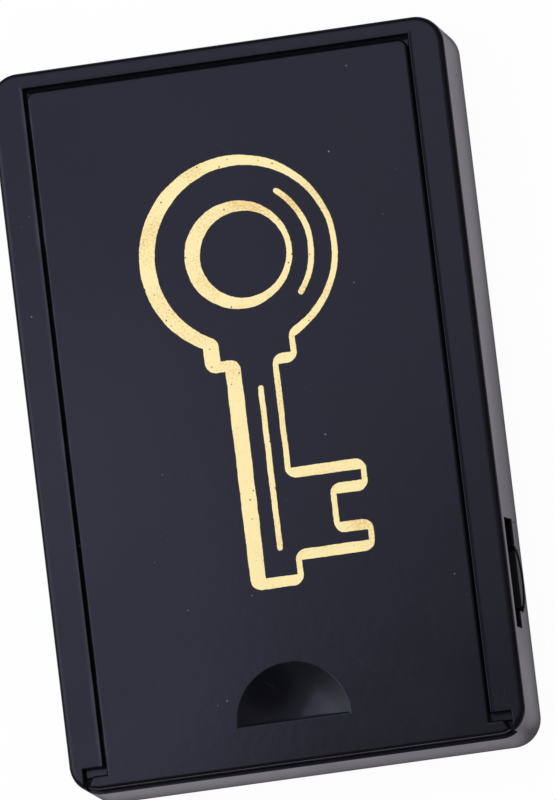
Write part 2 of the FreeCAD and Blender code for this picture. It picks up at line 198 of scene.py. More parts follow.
class PlasticSettings(bpy.types.PropertyGroup):
    """Finish of the black mouldings."""

    body_colour: colour("Box Colour", (0.0038, 0.0038, 0.0048), "Colour of the box moulding")
    cover_colour: colour("Cover Colour", (0.0035, 0.0036, 0.0046), "Colour of the cover moulding")
    floor_colour: colour("Inner Floor Colour", (0.0050, 0.0050, 0.0055), "Colour of the inner floor")
    # Paler colour of the painted edge highlight, which the scratches take too.
    highlight_and_scratch_colour: colour("Rubbed Colour", (0.035, 0.037, 0.045), "Colour where edges are rubbed")
    dust_colour: colour("Dust Colour", (0.20, 0.195, 0.185), "Colour of dust specks")
    specular: share("Gloss", 0.37, "Strength of the black plastic's reflections")
    body_roughness: share("Box Roughness", 0.20, "Roughness of the box moulding")
    cover_roughness: share("Cover Roughness", 0.17, "Roughness of the cover moulding")
    floor_roughness: share("Inner Floor Roughness", 0.38, "Roughness of the inner floor")
    # The rubbed edges below are where the painted highlight lies, on the left side only.
    rail_edge: length("Rail Edge", 0.0276, "From the middle to the rubbed edge of the left rail")
    panel_edge: length("Panel Edge", 0.0269, "From the middle to the rubbed edge of the panel")
    highlight_band: length("Rub Band", 0.0006, "How far a rubbed edge reaches to each side")
    lip_reach: length("Lip Reach", 0.0006, "How far the rails' raised lip reaches from the opening")
    lip_height: length("Lip Height", 0.00013, "Height of the rails' raised lip at the opening")
    groove_roughness: share("Groove Roughness", 0.7, "Roughness added in the unpolished gap round the panel")
    ripple_size: length("Ripple Size", 0.0016, "Width of the moulding's faint ripple")
    ripple_depth: length("Ripple Depth", 0.000012, "Depth of the moulding's faint ripple")
    ripple_spread: share("Ripple Spread", 0.07, "Roughness added where the polish is patchy")
    cloud_share: share("Clouds", 0.25, "How strongly paler clouds show in the black")
    scratch_length: length("Scratch Length", 0.009, "Length of the hairline scratches")
    scratch_tint: share("Scratch Tint", 0.35, "How far a scratch takes the rubbed colour")
    scratch_roughness: share("Scratch Roughness", 0.2, "Roughness added in a scratch")
    scratch_depth: share("Scratch Depth", 0.4, "Depth of a scratch, as a share of the ripple's")
    dust_spacing: length("Dust Spacing", 0.0013, "Distance between places where a speck may lie")
    dust_size: length("Dust Size", 0.00016, "Radius of the largest dust speck")
    dust_share: share("Dust Share", 0.05, "Share of the places that hold a speck")
    dust_roughness: share("Dust Roughness", 0.5, "Roughness added on a speck")


class FoilSettings(bpy.types.PropertyGroup):
    """Hot-stamped foil key on the cover."""

    colour: colour("Gold", (1.0, 0.83, 0.355), "Colour of the foil")
    shade: colour("Worn Gold", (0.80, 0.55, 0.17), "Colour where the foil is thin")
    roughness: share("Foil Roughness", 0.45, "Roughness of the foil")
    metallic: share("Foil Metal", 0.30, "How metallic the foil is")
    grain: length("Grain", 0.00028, "Size of the foil's grain")
    grain_depth: length("Grain Depth", 0.00003, "Depth of the foil's grain")
    grain_roughness: share("Grain Roughness", 0.25, "How much the grain changes the roughness")
    grain_level: share("Grain Level", 0.12, "Roughness taken off again, as the grain adds to it everywhere")
    pinhole_share: share("Pinholes", 0.10, "Share of the places that hold a pinhole")
    step: length("Outline Step", 0.0003, "Longest straight run along the foil's outline")
    raggedness: length("Raggedness", 0.00005, "How far the stamped outline wanders")


class MetalSettings(bpy.types.PropertyGroup):
    """Magnets and pole plates."""

    steel_colour: colour("Plated Steel", (0.62, 0.63, 0.65), "Colour of the pole plates")
    dull_colour: colour("Dull Steel", (0.42, 0.41, 0.38), "Colour of the dull spots")
    steel_roughness: share("Steel Roughness", 0.28, "Roughness of the pole plates")
    dull_roughness: share("Dull Roughness", 0.2, "Roughness added in the dull spots")
    steel_depth: length("Steel Relief", 0.00002, "Depth of the plating's unevenness")
    drawn_depth: share("Drawn Lines", 0.6, "Depth of the drawn lines, as a share of that")
    ferrite_colour: colour("Ferrite", (0.045, 0.045, 0.05), "Colour of the magnets")
    ferrite_roughness: share("Ferrite Roughness", 0.42, "Roughness of the magnets")
    ferrite_grain: share("Ferrite Grain", 0.3, "How much the grain adds to that roughness")
    ferrite_depth: length("Ferrite Relief", 0.00004, "Depth of the magnets' grain")
    steel_bevel: length("Sheared Edge", 0.00015, "Radius of the pole plates' edges")
    ferrite_bevel: length("Magnet Chamfer", 0.0003, "Chamfer of the magnets' edges")
    chip_depth: length("Chip Depth", 0.00012, "How far chips eat into the magnets' edges")


class MarkSettings(bpy.types.PropertyGroup):
    """Marks that moulding leaves where they do not show in use."""

    pin_radius: length("Pin Radius", 0.0026, "Radius of an ejector pin's mark")
    pin_height: length("Pin Mark Height", 0.00006, "Height of an ejector pin's mark")
    gate_radius: length("Gate Radius", 0.0011, "Radius of the stub where plastic came in")
    gate_height: length("Gate Height", 0.0003, "Height of that stub")


class StageSettings(bpy.types.PropertyGroup):
    """Floor, lamps and camera."""

    floor_colour: colour("Floor", (0.80, 0.80, 0.80), "Colour of the floor")
    fibre_colour: colour("Floor Fibre", (0.7, 0.7, 0.7), "Colour of the floor's faint grain")
    fibre_share: share("Fibre Share", 0.1, "How strongly that grain shows")
    floor_size: length("Floor Size", 3.0, "Width of the floor")
    hole_inset: length("Floor Hole Inset", 0.003, "From the object's outline in to the hole under it")
    floor_tint: colour("Floor Tint", (0.95, 0.90, 1.0), "Colour that the floor takes in reflections")
    floor_white: share("Floor White", 0.965, "How far the floor is lifted to white for the camera")
    # In reflections the floor carries a painted glow beside the object that dims further out.
    floor_sheen: share("Floor Sheen", 0.51, "Brightness of the floor beside the object in reflections")
    far_sheen: share("Far Floor Sheen", 0.16, "Brightness of the floor further out in reflections")
    sheen_near: length("Sheen Start", 0.004, "Distance from the object where the floor starts to darken")
    sheen_end: length("Sheen End", 0.040, "Distance from the object where it is darkest")
    # In reflections the floor takes a painted contact shadow just under the object's edge.
    contact_shadow_reach: length("Contact Reach", 0.0015, "How far the dark line under the object's edge reaches")
    contact_shadow_dark: share("Contact Dark", 0.6, "How dark that line is in reflections")
    room_colour: colour("Room", (0.74, 0.76, 1.0), "Colour of the light from all round")
    room_dark: share("Dark Side", 0.03, "Light from the sides away from the lamps")
    room_zenith: share("Ceiling", 0.32, "Light added towards straight above")
    room_horizon: share("Horizon", 0.05, "Light added just above the floor")
    key_colour: colour("Key Colour", (0.78, 0.84, 1.0), "Colour of the broad soft light at the left")
    key_level: number("Key Light", 1.5, "Strength of the broad soft light at the left")
    fill_power: number("Fill", 7.1, "Power in watts of the broad lamp above, unseen in reflections")
    below: share("Below", 0.8, "Light that reaches the back from below")
    camera_distance: length("Camera Distance", 2.6, "From the camera to what it looks at")
    camera_tilt: angle("Camera Tilt", 11.548, "Angle between the line of sight and the front's normal")
    camera_bearing: angle("Camera Bearing", -43.349, "Side that the camera leans to, from X towards Y")
    camera_roll: angle("Camera Roll", -6.8805, "Turn of the camera about its line of sight")
    camera_lens: number("Lens", 843.009, "Focal length in millimetres on a 36 mm sensor")
    aim_x: offset("Aim X", 0.0031393, "Where the camera looks, across")
    aim_y: offset("Aim Y", 0.0000885, "Where the camera looks, along")


class KeyBoxSettings(bpy.types.PropertyGroup):
    """All settings of the key box."""

    plastic: bpy.props.PointerProperty(type=PlasticSettings)
    foil: bpy.props.PointerProperty(type=FoilSettings)
    metal: bpy.props.PointerProperty(type=MetalSettings)
    marks: bpy.props.PointerProperty(type=MarkSettings)
    stage: bpy.props.PointerProperty(type=StageSettings)


def settings():
    """Return the scene's settings of the key box."""
    return bpy.context.scene.key_box


# Shader building


def add_node(tree, kind, inputs=None, **options):
    """Add a shader node, set its options, and set or link its inputs."""
    node = tree.nodes.new(kind)
    node.location = (len(tree.nodes) * 190, 0)
    for name, value in options.items():
        setattr(node, name, value)
    for key, value in (inputs or {}).items():
        if isinstance(value, bpy.types.NodeSocket):
            tree.links.new(value, node.inputs[key])
        else:
            node.inputs[key].default_value = value
    return node


def maths(tree, operation, first, second=0.0, third=0.0, clamp=False):
    """Add a Math node and return its result."""
    node = add_node(
        tree, "ShaderNodeMath", {0: first, 1: second, 2: third}, operation=operation, use_clamp=clamp
    )
    return node.outputs[0]


def ramp(tree, value, low, high, to_low=0.0, to_high=1.0):
    """Map a value smoothly from one range to another and return the result."""
    node = add_node(
        tree,
        "ShaderNodeMapRange",
        {"Value": value, "From Min": low, "From Max": high, "To Min": to_low, "To Max": to_high},
        interpolation_type="SMOOTHSTEP",
    )
    return node.outputs["Result"]


def opaque(value):
    """Return a plain colour with full alpha, and a socket as it is."""
    return value if isinstance(value, bpy.types.NodeSocket) else (*value, 1.0)


def blend_colours(tree, factor, first, second):
    """Mix two colours and return the result."""
    inputs = {0: factor, 6: opaque(first), 7: opaque(second)}
    return add_node(tree, "ShaderNodeMix", inputs, data_type="RGBA").outputs[2]


def new_group(name, inputs, outputs):
    """Return a new shader group of a Vector and named numbers, and its two end nodes."""
    tree = bpy.data.node_groups.new(name, "ShaderNodeTree")
    tree.interface.new_socket("Vector", in_out="INPUT", socket_type="NodeSocketVector")
    for socket_name in inputs:
        tree.interface.new_socket(socket_name, in_out="INPUT", socket_type="NodeSocketFloat")
    for socket_name in outputs:
        tree.interface.new_socket(socket_name, in_out="OUTPUT", socket_type="NodeSocketFloat")
    return tree, tree.nodes.new("NodeGroupInput"), tree.nodes.new("NodeGroupOutput")


def ripple_group():
    """Faint ripple and patchy gloss of a polished moulding."""
    inputs = ("Size", "Roughness", "Spread")
    tree, start, end = new_group("Moulded Ripple", inputs, ("Roughness", "Height", "Patches"))
    vector = start.outputs["Vector"]
    fine_scale = maths(tree, "DIVIDE", 1.0, start.outputs["Size"])
    broad_scale = maths(tree, "DIVIDE", PATCH_SCALE, start.outputs["Size"])
    fine = add_node(tree, "ShaderNodeTexNoise", {"Vector": vector, "Scale": fine_scale, "Detail": 2.0})
    broad = add_node(tree, "ShaderNodeTexNoise", {"Vector": vector, "Scale": broad_scale, "Detail": 3.0})
    patches = ramp(tree, broad.outputs[0], *PATCH_RANGE)
    fine_part = maths(tree, "MULTIPLY_ADD", fine.outputs[0], 0.3, -0.15)
    spread = maths(tree, "ADD", patches, fine_part)
    roughness = maths(tree, "MULTIPLY_ADD", spread, start.outputs["Spread"], start.outputs["Roughness"])
    tree.links.new(roughness, end.inputs["Roughness"])
    tree.links.new(fine.outputs[0], end.inputs["Height"])
    tree.links.new(patches, end.inputs["Patches"])
    return tree


def dust_group():
    """Sparse dust specks of differing size."""
    tree, start, end = new_group("Dust Specks", ("Spacing", "Size", "Share"), ("Mask",))
    scale = maths(tree, "DIVIDE", 1.0, start.outputs["Spacing"])
    cells = add_node(tree, "ShaderNodeTexVoronoi", {"Vector": start.outputs["Vector"], "Scale": scale})
    channels = add_node(tree, "ShaderNodeSeparateColor", {0: cells.outputs["Color"]})
    radius = maths(tree, "MULTIPLY", channels.outputs[1], start.outputs["Size"])
    distance = maths(tree, "MULTIPLY", cells.outputs["Distance"], start.outputs["Spacing"])
    inside = maths(tree, "DIVIDE", distance, radius)
    speck = ramp(tree, inside, *SPECK_RIM, 1.0, 0.0)
    chosen = maths(tree, "LESS_THAN", channels.outputs[0], start.outputs["Share"])
    tree.links.new(maths(tree, "MULTIPLY", speck, chosen), end.inputs["Mask"])
    return tree


def scratch_group():
    """Sparse hairline scratches along one direction in the XY plane."""
    tree, start, end = new_group("Hairline Scratches", ("Angle", "Length", "Cover"), ("Mask",))
    turned = add_node(
        tree,
        "ShaderNodeVectorRotate",
        {"Vector": start.outputs["Vector"], "Angle": start.outputs["Angle"]},
        rotation_type="Z_AXIS",
    )
    along = maths(tree, "DIVIDE", 1.0, start.outputs["Length"])
    across = maths(tree, "MULTIPLY", along, SCRATCH_STRETCH)
    scale = add_node(tree, "ShaderNodeCombineXYZ", {"X": across, "Y": along, "Z": along})
    stretched = add_node(
        tree, "ShaderNodeVectorMath", {0: turned.outputs[0], 1: scale.outputs[0]}, operation="MULTIPLY"
    )
    streaks = add_node(
        tree, "ShaderNodeTexNoise", {"Vector": stretched.outputs[0], "Scale": 1.0, "Detail": 1.0}
    )
    limit = maths(tree, "MULTIPLY_ADD", start.outputs["Cover"], -0.16, 0.82)
    above = maths(tree, "SUBTRACT", streaks.outputs[0], limit)
    tree.links.new(ramp(tree, above, *SCRATCH_RIM), end.inputs["Mask"])
    return tree


def painted_highlight_group():
    """Painted highlight in rubbed-looking patches along a line across X."""
    tree, start, end = new_group("Edge Rub", ("Edge", "Band", "Amount"), ("Mask",))
    place = add_node(tree, "ShaderNodeSeparateXYZ", {0: start.outputs["Vector"]})
    distance = maths(tree, "ABSOLUTE", maths(tree, "SUBTRACT", place.outputs["X"], start.outputs["Edge"]))
    near = ramp(tree, maths(tree, "DIVIDE", distance, start.outputs["Band"]), 0.0, 1.0, 1.0, 0.0)
    patches = add_node(
        tree, "ShaderNodeTexNoise", {"Vector": start.outputs["Vector"], "Scale": 130.0, "Detail": 4.0}
    )
    highlighted = ramp(tree, patches.outputs[0], *HIGHLIGHT_PATCH_RANGE)
    mask = maths(tree, "MULTIPLY", maths(tree, "MULTIPLY", near, highlighted), start.outputs["Amount"])
    tree.links.new(mask, end.inputs["Mask"])
    return tree


def past_edges(tree, place, start):
    """Return how far a place is past the sides or the head that a group was given."""
    across = maths(tree, "SUBTRACT", maths(tree, "ABSOLUTE", place.outputs["X"]), start.outputs["Side"])
    along = maths(tree, "SUBTRACT", place.outputs["Y"], start.outputs["Head"])
    return maths(tree, "MAXIMUM", across, along)


def under_front(tree, place, start):
    """Return how far a place is under the front that a group was given."""
    return maths(tree, "SUBTRACT", start.outputs["Front"], place.outputs["Z"])


def lip_group():
    """Raised lip round an opening that is centred on X and ends at a place along Y."""
    tree, start, end = new_group("Raised Lip", ("Side", "Head", "Front", "Reach"), ("Height",))
    place = add_node(tree, "ShaderNodeSeparateXYZ", {0: start.outputs["Vector"]})
    away = maths(tree, "DIVIDE", past_edges(tree, place, start), start.outputs["Reach"])
    rise = maths(tree, "SUBTRACT", 1.0, away, clamp=True)
    at_front = ramp(tree, under_front(tree, place, start), *LIP_FADE, 1.0, 0.0)
    curve = maths(tree, "MULTIPLY", rise, rise)
    tree.links.new(maths(tree, "MULTIPLY", curve, at_front), end.inputs["Height"])
    return tree


def groove_group():
    """Floor of the gap round a raised panel, from the rails' ends to past the panel's head."""
    tree, start, end = new_group("Groove Floor", ("Side", "Head", "Mouth", "Front"), ("Mask",))
    place = add_node(tree, "ShaderNodeSeparateXYZ", {0: start.outputs["Vector"]})
    beyond = ramp(tree, past_edges(tree, place, start), -GROOVE_BLUR, GROOVE_BLUR)
    deep = ramp(tree, under_front(tree, place, start), *GROOVE_START)
    inward = maths(tree, "SUBTRACT", place.outputs["Y"], start.outputs["Mouth"])
    between = ramp(tree, inward, 0.0, 2 * GROOVE_BLUR)
    mask = maths(tree, "MULTIPLY", maths(tree, "MULTIPLY", beyond, deep), between)
    tree.links.new(mask, end.inputs["Mask"])
    return tree


GROUPS = {
    "ripple": ripple_group,
    "dust": dust_group,
    "scratch": scratch_group,
    "rub": painted_highlight_group,
    "lip": lip_group,
    "groove": groove_group,
}
made_groups = {}


def place_group(tree, name, inputs):
    """Place one of the shared groups, building it the first time."""
    if name not in made_groups:
        made_groups[name] = GROUPS[name]()
    return add_node(tree, "ShaderNodeGroup", inputs, node_tree=made_groups[name])


def new_material(name, metallic=0.0, specular=0.5, viewport=(0.02, 0.02, 0.025)):
    """Return a new material's tree, its shader and its Object coordinates."""
    material = bpy.data.materials.new(name)
    material.use_nodes = True
    material.diffuse_color = (*viewport, 1.0)
    tree = material.node_tree
    shader = tree.nodes["Principled BSDF"]
    shader.location = (5200, 0)
    tree.nodes["Material Output"].location = (5500, 0)
    shader.inputs["Metallic"].default_value = metallic
    shader.inputs["Specular IOR Level"].default_value = specular
    coordinates = add_node(tree, "ShaderNodeTexCoord").outputs["Object"]
    return material, tree, shader, coordinates


def bump(tree, shader, height, distance):
    """Raise a surface by a height pattern, so many metres high."""
    node = add_node(tree, "ShaderNodeBump", {"Height": height, "Distance": distance, "Strength": 1.0})
    tree.links.new(node.outputs[0], shader.inputs["Normal"])


def black_plastic(name, base, roughness, highlight_and_wear, lip=False, groove=False):
    """Glossy black moulding with ripple, hairlines, a painted edge highlight in rubbed-looking patches, and a
    little dust.
    """
    given = settings().plastic
    material, tree, shader, place = new_material(name, specular=given.specular)
    ripple = place_group(
        tree,
        "ripple",
        {
            "Vector": place,
            "Size": given.ripple_size,
            "Roughness": roughness,
            "Spread": given.ripple_spread,
        },
    )
    scratches = place_group(
        tree,
        "scratch",
        {
            "Vector": place,
            "Angle": highlight_and_wear.scratch_angle,
            "Length": given.scratch_length,
            "Cover": highlight_and_wear.scratch_cover,
        },
    )
    dust = place_group(
        tree,
        "dust",
        {"Vector": place, "Spacing": given.dust_spacing, "Size": given.dust_size, "Share": given.dust_share},
    )
    # Painted highlight in rubbed-looking patches along one edge.
    rub = place_group(
        tree,
        "rub",
        {"Vector": place, "Edge": highlight_and_wear.rub_edge, "Band": given.highlight_band, "Amount": highlight_and_wear.rub_amount},
    )
    clouds = maths(tree, "MULTIPLY", ripple.outputs["Patches"], given.cloud_share)
    tone = blend_colours(tree, clouds, base, [channel * CLOUD_TONE for channel in base])
    highlighted = blend_colours(tree, rub.outputs["Mask"], tone, given.highlight_and_scratch_colour)
    scratch = scratches.outputs["Mask"]
    scratched = maths(tree, "MULTIPLY", scratch, given.scratch_tint)
    scored = blend_colours(tree, scratched, highlighted, given.highlight_and_scratch_colour)
    dusted = blend_colours(tree, dust.outputs["Mask"], scored, given.dust_colour)
    tree.links.new(dusted, shader.inputs["Base Color"])
    rough = ripple.outputs["Roughness"]
    rough = maths(tree, "MULTIPLY_ADD", scratch, given.scratch_roughness, rough)
    rough = maths(tree, "MULTIPLY_ADD", dust.outputs["Mask"], given.dust_roughness, rough, clamp=True)
    if groove:
        floor = place_group(
            tree,
            "groove",
            {
                "Vector": place,
                "Side": PANEL_SIDE,
                "Head": PANEL_HEAD,
                "Mouth": RAIL_END,
                "Front": COVER_HIGH.z,
            },
        )
        rough = maths(
            tree, "MULTIPLY_ADD", floor.outputs["Mask"], given.groove_roughness, rough, clamp=True
        )
    tree.links.new(rough, shader.inputs["Roughness"])
    relief = maths(tree, "MULTIPLY_ADD", scratch, -given.scratch_depth, ripple.outputs["Height"])
    if lip:
        raised = place_group(
            tree,
            "lip",
            {
                "Vector": place,
                "Side": OPENING_SIDE,
                "Head": OPENING_HEAD,
                "Front": BODY_HIGH.z,
                "Reach": given.lip_reach,
            },
        )
        relief = maths(
            tree, "MULTIPLY_ADD", raised.outputs["Height"], given.lip_height / given.ripple_depth, relief
        )
    bump(tree, shader, relief, given.ripple_depth)
    return material


def gold_foil(name):
    """Stamped gold foil with a fine grain, thin patches and pinholes that show the black."""
    given = settings().foil
    black = settings().plastic.cover_colour
    material, tree, shader, place = new_material(name, viewport=given.colour)
    grain = add_node(tree, "ShaderNodeTexNoise", {"Vector": place, "Scale": 1.0 / given.grain, "Detail": 3.0})
    broad = add_node(tree, "ShaderNodeTexNoise", {"Vector": place, "Scale": 160.0, "Detail": 2.0})
    thin = ramp(tree, maths(tree, "ADD", grain.outputs[0], broad.outputs[0]), *THIN_RANGE)
    pores = add_node(tree, "ShaderNodeTexVoronoi", {"Vector": place, "Scale": PINHOLE_SCALE / given.grain})
    channels = add_node(tree, "ShaderNodeSeparateColor", {0: pores.outputs["Color"]})
    rare = maths(tree, "LESS_THAN", channels.outputs[0], given.pinhole_share)
    pore = ramp(tree, pores.outputs["Distance"], *PINHOLE_RIM, 1.0, 0.0)
    pinhole = maths(tree, "MULTIPLY", pore, rare)
    gold = blend_colours(tree, thin, given.colour, given.shade)
    tree.links.new(blend_colours(tree, pinhole, gold, black), shader.inputs["Base Color"])
    metal = maths(tree, "MULTIPLY_ADD", pinhole, -given.metallic, given.metallic)
    tree.links.new(metal, shader.inputs["Metallic"])
    least = given.roughness - given.grain_level
    rough = maths(tree, "MULTIPLY_ADD", grain.outputs[0], given.grain_roughness, least)
    tree.links.new(rough, shader.inputs["Roughness"])
    bump(tree, shader, grain.outputs[0], given.grain_depth)
    return material


def plated_steel(name):
    """Zinc-plated sheared steel, drawn along X, with dull spots."""
    given = settings().metal
    material, tree, shader, place = new_material(name, metallic=1.0, viewport=given.steel_colour)
    drawn = place_group(
        tree, "scratch", {"Vector": place, "Angle": math.pi / 2, "Length": 0.02, "Cover": 1.0}
    )
    spangle = add_node(tree, "ShaderNodeTexVoronoi", {"Vector": place, "Scale": 700.0})
    clouds = add_node(tree, "ShaderNodeTexNoise", {"Vector": place, "Scale": 220.0, "Detail": 5.0})
    dull = ramp(tree, clouds.outputs[0], *DULL_RANGE)
    darker = [channel * FLAKE_TONE for channel in given.steel_colour]
    flakes = blend_colours(tree, spangle.outputs["Distance"], given.steel_colour, darker)
    tree.links.new(blend_colours(tree, dull, flakes, given.dull_colour), shader.inputs["Base Color"])
    rough = maths(tree, "MULTIPLY_ADD", dull, given.dull_roughness, given.steel_roughness)
    tree.links.new(rough, shader.inputs["Roughness"])
    relief = maths(tree, "MULTIPLY_ADD", drawn.outputs["Mask"], -given.drawn_depth, clouds.outputs[0])
    bump(tree, shader, relief, given.steel_depth)
    return material


def sintered_ferrite(name):
    """Dark grey ceramic magnet with a fine grain and ground faces."""
    given = settings().metal
    material, tree, shader, place = new_material(name, viewport=given.ferrite_colour)
    grain = add_node(tree, "ShaderNodeTexNoise", {"Vector": place, "Scale": 2600.0, "Detail": 6.0})
    clouds = add_node(tree, "ShaderNodeTexNoise", {"Vector": place, "Scale": 180.0, "Detail": 3.0})
    lighter = [channel * SINTER_TONE for channel in given.ferrite_colour]
    mixture = maths(tree, "MULTIPLY", grain.outputs[0], clouds.outputs[0])
    speckled = blend_colours(tree, ramp(tree, mixture, *SINTER_RANGE), given.ferrite_colour, lighter)
    tree.links.new(speckled, shader.inputs["Base Color"])
    rough = maths(tree, "MULTIPLY_ADD", grain.outputs[0], given.ferrite_grain, given.ferrite_roughness)
    tree.links.new(rough, shader.inputs["Roughness"])
    bump(tree, shader, grain.outputs[0], given.ferrite_depth)
    return material


# Mesh building


def object_from(bm, name, material, smooth_angle=None):
    """Make an object at the origin from a finished bmesh."""
    mesh = bpy.data.meshes.new(name)
    bm.to_mesh(mesh)
    bm.free()
    mesh.materials.append(material)
    made = bpy.data.objects.new(name, mesh)
    bpy.context.scene.collection.objects.link(made)
    if smooth_angle is not None:
        mesh.shade_smooth()
        mesh.set_sharp_from_angle(angle=smooth_angle)
    return made


def rounded_block(low, high, radius, segments):
    """Return a bmesh of a block between two corners, with every edge bevelled."""
    bm = bmesh.new()
    bmesh.ops.create_cube(bm, size=1.0)
    bmesh.ops.scale(bm, verts=bm.verts, vec=high - low)
    bmesh.ops.translate(bm, verts=bm.verts, vec=(low + high) / 2)
    bmesh.ops.bevel(
        bm,
        geom=list(bm.edges),
        offset=radius,
        segments=segments,
        profile=0.5,
        affect="EDGES",
        material=-1,
        clamp_overlap=True,
    )
    # Faces cut from a bevelled bmesh come in another order in every run, but not those cut from a copy.
    fresh = bm.copy()
    bm.free()
    return fresh


def paint_node(name, material):
    """Give a CAD node its finish."""
    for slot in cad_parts[name].material_slots:
        slot.material = material


class KEYBOX_OT_finish_box_body(bpy.types.Operator):
    """Give the box moulding its finish"""

    bl_idname = "keybox.finish_box_body"
    bl_label = "Finish Box Body"

    def execute(self, context):
        given = settings().plastic
        # Painted highlight along the left rail's inner edge.
        highlight_and_wear = HighlightAndWear(rub_edge=-given.rail_edge, rub_amount=0.35, scratch_angle=0.15, scratch_cover=0.25)
        material = black_plastic("box_black", given.body_colour, given.body_roughness, highlight_and_wear, lip=True)
        paint_node("box_body", material)
        return {"FINISHED"}


class KEYBOX_OT_finish_sliding_cover(bpy.types.Operator):
    """Give the cover moulding its finish"""

    bl_idname = "keybox.finish_sliding_cover"
    bl_label = "Finish Sliding Cover"

    def execute(self, context):
        given = settings().plastic
        # Painted highlight along the panel's left edge.
        highlight_and_wear = HighlightAndWear(rub_edge=-given.panel_edge, rub_amount=0.5, scratch_angle=-0.9, scratch_cover=0.3)
        material = black_plastic("cover_black", given.cover_colour, given.cover_roughness, highlight_and_wear, groove=True)
        paint_node("sliding_cover", material)
        return {"FINISHED"}


class KEYBOX_OT_finish_inner_floor(bpy.types.Operator):
    """Give the inner floor its finish"""

    bl_idname = "keybox.finish_inner_floor"
    bl_label = "Finish Inner Floor"

    def execute(self, context):
        given = settings().plastic
        highlight_and_wear = HighlightAndWear(rub_edge=0.0, rub_amount=0.0, scratch_angle=1.1, scratch_cover=0.8)
        material = black_plastic("inner_floor_black", given.floor_colour, given.floor_roughness, highlight_and_wear)
        paint_node("inner_floor", material)
        return {"FINISHED"}


def wander(point, size, reach):
    """Return how far an outline point strays in the XY plane."""
    drift = noise.noise_vector(Vector((point.x, point.y, 0.0)) / size)
    return Vector((drift.x, drift.y, 0.0)) * reach


class KEYBOX_OT_add_foil_key(bpy.types.Operator):
    """Stamp the gold key on the cover, with a slightly uneven outline"""

    bl_idname = "keybox.add_foil_key"
    bl_label = "Foil Key"

    def execute(self, context):
        given = settings().foil
        bm = bmesh.new()
        bm.from_mesh(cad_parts["key_foil"].data)
        bmesh.ops.remove_doubles(bm, verts=bm.verts, dist=SAME_PLACE)
        bmesh.ops.dissolve_limit(bm, angle_limit=FLAT_BEND, verts=bm.verts, edges=bm.edges)
        bm.normal_update()
        upright = Vector((0.0, 0.0, 1.0))
        for _ in range(FOIL_ROUNDS):
            rim = [
                edge
                for edge in bm.edges
                if edge.calc_length() > given.step
                and any(abs(face.normal.dot(upright)) < 0.5 for face in edge.link_faces)
                and abs(edge.verts[0].co.z - edge.verts[1].co.z) < SAME_PLACE
            ]
            if not rim:
                break
            bmesh.ops.subdivide_edges(bm, edges=rim, cuts=1)
        bmesh.ops.triangulate(bm, faces=bm.faces)
        noise.seed_set(OUTLINE_SEED)
        for vert in bm.verts:
            vert.co += wander(vert.co, FINE_DRIFT, given.raggedness)
            vert.co += wander(vert.co, BROAD_DRIFT, given.raggedness * 1.5)
        made = object_from(bm, "stamped_key", gold_foil("stamped_gold"))
        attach(made, "cover")
        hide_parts("key_foil")
        return {"FINISHED"}


class KEYBOX_OT_add_pole_plates(bpy.types.Operator):
    """Build the four sheared steel plates that stand out of the back"""

    bl_idname = "keybox.add_pole_plates"
    bl_label = "Pole Plates"

    def execute(self, context):
        given = settings().metal
        material = plated_steel("zinc_plated_steel")
        for name in POLE_PLATES:
            low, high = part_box(name)
            bm = rounded_block(low, high, given.steel_bevel, 3)
            made = object_from(bm, name + "_steel", material, STEEL_CREASE)
            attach(made, "box")
            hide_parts(name)
        return {"FINISHED"}


def shares_out(point, low, high):
    """Return how far a point is from the middle along each axis, as a share of the size."""
    return [(point[i] - (low[i] + high[i]) / 2) / (high[i] - low[i]) for i in range(3)]


class KEYBOX_OT_add_magnets(bpy.types.Operator):
    """Build the two ferrite bars, with chipped edges"""

    bl_idname = "keybox.add_magnets"
    bl_label = "Magnets"

    def execute(self, context):
        given = settings().metal
        material = sintered_ferrite("sintered_ferrite")
        for name in MAGNETS:
            low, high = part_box(name)
            bm = rounded_block(low, high, given.ferrite_bevel, 1)
            bmesh.ops.triangulate(bm, faces=bm.faces)
            for _ in range(FERRITE_ROUNDS):
                long_edges = [edge for edge in bm.edges if edge.calc_length() > FERRITE_STEP]
                if not long_edges:
                    break
                bmesh.ops.subdivide_edges(bm, edges=long_edges, cuts=1)
                bmesh.ops.triangulate(bm, faces=bm.faces)
            middle = (low + high) / 2
            for vert in bm.verts:
                chip = max(0.0, noise.noise(vert.co / CHIP_SIZE) - CHIP_LEVEL)
                inward = (middle - vert.co).normalized()
                near_faces = sum(abs(part) > EDGE_SHARE for part in shares_out(vert.co, low, high))
                edgewise = min(1.0, near_faces / 2)
                vert.co += inward * chip * given.chip_depth * edgewise * 2.0
            made = object_from(bm, name + "_ferrite", material, FERRITE_CREASE)
            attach(made, "box")
            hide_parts(name)
        return {"FINISHED"}


def add_discs(name, centres, radius, height, up, material, body):
    """Add low round marks on a flat surface, all in one object."""
    bm = bmesh.new()
    for centre in centres:
        made = bmesh.ops.create_cone(
            bm, cap_ends=True, segments=MARK_SIDES, radius1=radius, radius2=radius - height, depth=height
        )
        turn = Matrix.Identity(3) if up else Matrix.Rotation(math.pi, 3, "X")
        bmesh.ops.rotate(bm, verts=made["verts"], matrix=turn, cent=(0, 0, 0))
        lift = height / 2 if up else -height / 2
        bmesh.ops.translate(bm, verts=made["verts"], vec=Vector(centre) + Vector((0, 0, lift)))
    marks = object_from(bm, name, material, MARK_CREASE)
    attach(marks, body)


